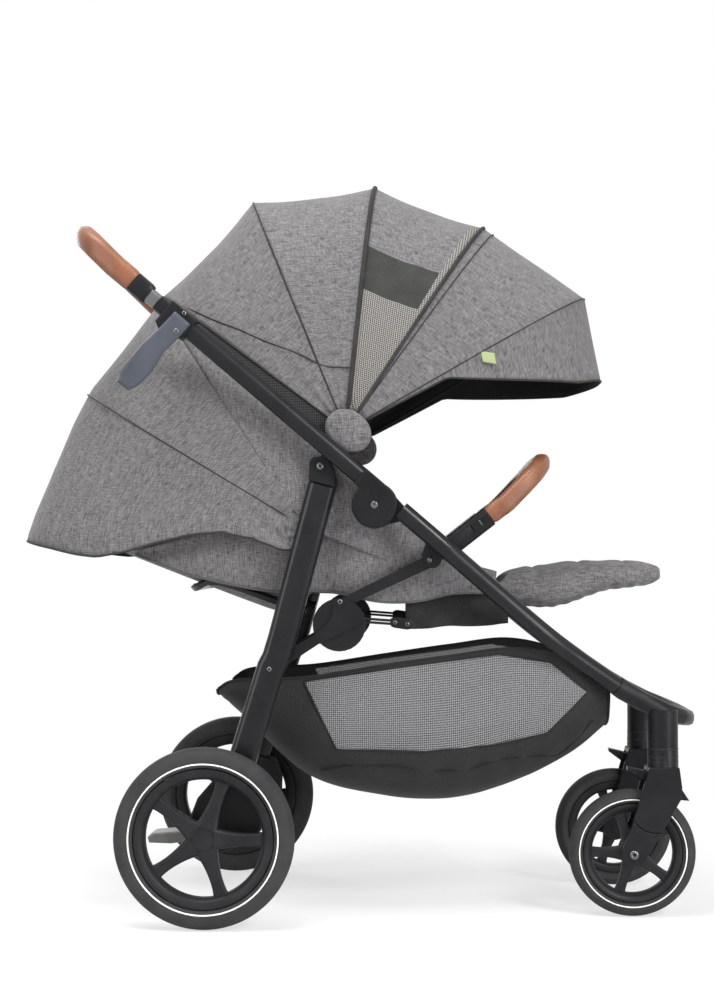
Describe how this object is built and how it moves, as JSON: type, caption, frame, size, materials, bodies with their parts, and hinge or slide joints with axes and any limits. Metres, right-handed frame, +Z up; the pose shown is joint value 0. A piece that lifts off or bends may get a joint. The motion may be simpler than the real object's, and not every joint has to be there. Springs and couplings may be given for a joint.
{
  "type": "pushchair",
  "caption": "Folding pushchair with a tube frame, swivel front wheels, telescopic handle, reclining seat, fan canopy, bumper bar and basket.",
  "frame": {"origin": "centre of the wheels' footprint box on the ground", "axes": "+Z up, +X forward towards the front wheels, +Y to the child's left"},
  "size_m": [1.0582, 0.629, 1.1436],
  "materials": {
    "tyre": "matte tread",
    "rim": "satin",
    "frame_metal": "satin charcoal coat",
    "frame_plastic": "satin",
    "polished_tube": "polished",
    "leather": "stitched, grained",
    "blue_grey_plastic": "satin",
    "pedal_grey": "satin",
    "grey_melange": "cross-hatch weave",
    "window_mesh": "open mesh",
    "black_cloth": "plain weave"
  },
  "bodies": {
    "lower_frame": {"lower_tube_right": "frame_metal", "lower_tube_left": "frame_metal", "front_bar": "frame_plastic", "hinge_disc_right": "frame_plastic", "hinge_disc_left": "frame_plastic", "seat_base": "grey_melange", "bumper_arm_right": "frame_plastic", "bumper_arm_left": "frame_plastic", "basket": "black_cloth"},
    "bumper": {"bumper_bar": "leather"},
    "bumper_release_right": {"bumper_button_right": "frame_plastic"},
    "bumper_release_left": {"bumper_button_left": "frame_plastic"},
    "calf_panel": {"calf_rest": "grey_melange"},
    "upper_frame": {"upper_tube_right": "frame_metal", "upper_tube_left": "frame_metal", "hinge_shell_right": "frame_plastic", "hinge_shell_left": "frame_plastic", "handle_housing_right": "frame_plastic", "handle_housing_left": "frame_plastic", "stand_foot_right": "blue_grey_plastic", "stand_foot_left": "blue_grey_plastic", "canopy_rear": "grey_melange", "canopy_rear_bow": "frame_plastic"},
    "handle": {"handle_tube_right": "polished_tube", "handle_tube_left": "polished_tube", "handle_grip": "leather"},
    "height_release": {"height_button": "pedal_grey"},
    "rear_legs": {"rear_leg_right": "frame_metal", "rear_leg_left": "frame_metal", "leg_cap_right": "frame_plastic", "leg_cap_left": "frame_plastic", "rear_axle": "frame_plastic"},
    "brake": {"brake_pedal": "pedal_grey"},
    "rear_wheel_right": {"rear_rim_right": "rim", "rear_tyre_right": "tyre"},
    "rear_wheel_left": {"rear_rim_left": "rim", "rear_tyre_left": "tyre"},
    "front_links": {"link_front_right": "frame_metal", "link_front_left": "frame_metal"},
    "rear_links": {"link_rear_right": "frame_plastic", "link_rear_left": "frame_plastic"},
    "back_frame": {"back_support": "frame_metal", "back_hood": "grey_melange"},
    "back": {"backrest": "grey_melange"},
    "canopy_middle_part": {"canopy_middle_bow": "frame_plastic", "canopy_middle": "grey_melange"},
    "canopy_window_part": {"canopy_window_bow": "frame_plastic", "canopy_window": "window_mesh"},
    "canopy_front_part": {"canopy_front_bow": "frame_plastic", "canopy_front": "grey_melange"},
    "caster_right": {"fork_right": "frame_plastic"},
    "swivel_lock_part_right": {"swivel_lock_right": "frame_plastic"},
    "swing_right": {"suspension_arm_right": "frame_plastic"},
    "front_wheel_right": {"front_rim_right": "rim", "front_tyre_right": "tyre"},
    "caster_left": {"fork_left": "frame_plastic"},
    "swivel_lock_part_left": {"swivel_lock_left": "frame_plastic"},
    "swing_left": {"suspension_arm_left": "frame_plastic"},
    "front_wheel_left": {"front_rim_left": "rim", "front_tyre_left": "tyre"}
  },
  "joints": [
    {"name": "frame_fold", "type": "hinge", "parent": "lower_frame", "child": "upper_frame", "pos_m": [0.02189, 0, 0.63], "axis": [0, -1, 0], "range_deg": [0, 140], "deforming": ["back_hood"]},
    {"name": "handle_extend", "type": "slide", "parent": "upper_frame", "child": "handle", "axis": [-0.7597, 0, 0.6502], "range_m": [0, 0.08]},
    {"name": "height_release_press", "type": "slide", "parent": "handle", "child": "height_release", "axis": [0, 0, 1], "range_m": [0, 0.004], "stiffness_N_per_m": 400},
    {"name": "rear_leg_fold", "type": "hinge", "parent": "upper_frame", "child": "rear_legs", "pos_m": [-0.06037, 0, 0.68922], "axis": [0, -1, 0], "range_deg": [-96.6, 0]},
    {"name": "front_link_fold", "type": "hinge", "parent": "lower_frame", "child": "front_links", "pos_m": [0.10985, 0, 0.54761], "axis": [0, -1, 0], "range_deg": [0, 80.36]},
    {"name": "rear_link_fold", "type": "hinge", "parent": "front_links", "child": "rear_links", "pos_m": [-0.03101, 0, 0.4799], "axis": [0, -1, 0], "range_deg": [-16.94, 0]},
    {"name": "back_frame_fold", "type": "hinge", "parent": "lower_frame", "child": "back_frame", "pos_m": [-0.09211, 0, 0.47], "axis": [0, -1, 0], "range_deg": [-14, 0]},
    {"name": "back_recline", "type": "hinge", "parent": "back_frame", "child": "back", "pos_m": [-0.10011, 0, 0.492], "axis": [0, 1, 0], "range_deg": [0, 48]},
    {"name": "calf_tilt", "type": "hinge", "parent": "lower_frame", "child": "calf_panel", "pos_m": [0.20839, 0, 0.505], "axis": [0, 1, 0], "range_deg": [0, 48]},
    {"name": "canopy_fold", "type": "hinge", "parent": "upper_frame", "child": "canopy_middle_part", "pos_m": [-0.02207, 0, 0.74397], "axis": [0, -1, 0], "range_deg": [0, 22], "deforming": ["canopy_front", "canopy_window", "canopy_middle"]},
    {"name": "canopy_window_fold", "type": "hinge", "parent": "canopy_middle_part", "child": "canopy_window_part", "pos_m": [-0.02207, 0, 0.74397], "axis": [0, -1, 0], "range_deg": [0, 23.1]},
    {"name": "canopy_front_fold", "type": "hinge", "parent": "canopy_window_part", "child": "canopy_front_part", "pos_m": [-0.02207, 0, 0.74397], "axis": [0, -1, 0], "range_deg": [0, 23.1]},
    {"name": "bumper_pull", "type": "slide", "parent": "lower_frame", "child": "bumper", "axis": [0.7886, 0, 0.6149], "range_m": [0, 0.045]},
    {"name": "bumper_release_right_press", "type": "slide", "parent": "lower_frame", "child": "bumper_release_right", "axis": [0, 1, 0], "range_m": [0, 0.003], "stiffness_N_per_m": 400},
    {"name": "bumper_release_left_press", "type": "slide", "parent": "lower_frame", "child": "bumper_release_left", "axis": [0, -1, 0], "range_m": [0, 0.003], "stiffness_N_per_m": 400},
    {"name": "caster_swivel_right", "type": "hinge", "parent": "lower_frame", "child": "caster_right", "pos_m": [0.46459, -0.155, 0.2614], "axis": [0, 0, 1], "continuous": true},
    {"name": "swivel_lock_tilt_right", "type": "hinge", "parent": "caster_right", "child": "swivel_lock_part_right", "pos_m": [0.43089, -0.155, 0.2165], "axis": [0, -1, 0], "range_deg": [0, 25]},
    {"name": "suspension_right", "type": "hinge", "parent": "caster_right", "child": "swing_right", "pos_m": [0.45139, -0.155, 0.1721], "axis": [0, 1, 0], "range_deg": [0, 10], "stiffness_Nm_per_rad": 40, "springref_deg": -6.88},
    {"name": "front_wheel_spin_right", "type": "hinge", "parent": "swing_right", "child": "front_wheel_right", "pos_m": [0.41689, -0.155, 0.0975], "axis": [0, 1, 0], "continuous": true},
    {"name": "caster_swivel_left", "type": "hinge", "parent": "lower_frame", "child": "caster_left", "pos_m": [0.46459, 0.155, 0.2614], "axis": [0, 0, 1], "continuous": true},
    {"name": "swivel_lock_tilt_left", "type": "hinge", "parent": "caster_left", "child": "swivel_lock_part_left", "pos_m": [0.43089, 0.155, 0.2165], "axis": [0, -1, 0], "range_deg": [0, 25]},
    {"name": "suspension_left", "type": "hinge", "parent": "caster_left", "child": "swing_left", "pos_m": [0.45139, 0.155, 0.1721], "axis": [0, 1, 0], "range_deg": [0, 10], "stiffness_Nm_per_rad": 40, "springref_deg": -6.88},
    {"name": "front_wheel_spin_left", "type": "hinge", "parent": "swing_left", "child": "front_wheel_left", "pos_m": [0.41689, 0.155, 0.0975], "axis": [0, 1, 0], "continuous": true},
    {"name": "rear_wheel_spin_right", "type": "hinge", "parent": "rear_legs", "child": "rear_wheel_right", "pos_m": [-0.23051, -0.2925, 0.135], "axis": [0, 1, 0], "continuous": true},
    {"name": "rear_wheel_spin_left", "type": "hinge", "parent": "rear_legs", "child": "rear_wheel_left", "pos_m": [-0.23051, 0.2925, 0.135], "axis": [0, 1, 0], "continuous": true},
    {"name": "brake_press", "type": "hinge", "parent": "rear_legs", "child": "brake", "pos_m": [-0.23051, 0, 0.135], "axis": [0, -1, 0], "range_deg": [0, 20]}
  ],
  "couplings": [
    {"joint": "rear_leg_fold", "follows": "frame_fold", "ratio": -0.69},
    {"joint": "front_link_fold", "follows": "frame_fold", "ratio": 0.574},
    {"joint": "rear_link_fold", "follows": "frame_fold", "ratio": -0.121},
    {"joint": "back_frame_fold", "follows": "frame_fold", "ratio": -0.1},
    {"joint": "canopy_window_fold", "follows": "canopy_fold", "ratio": 1.05},
    {"joint": "canopy_front_fold", "follows": "canopy_fold", "ratio": 1.05}
  ]
}
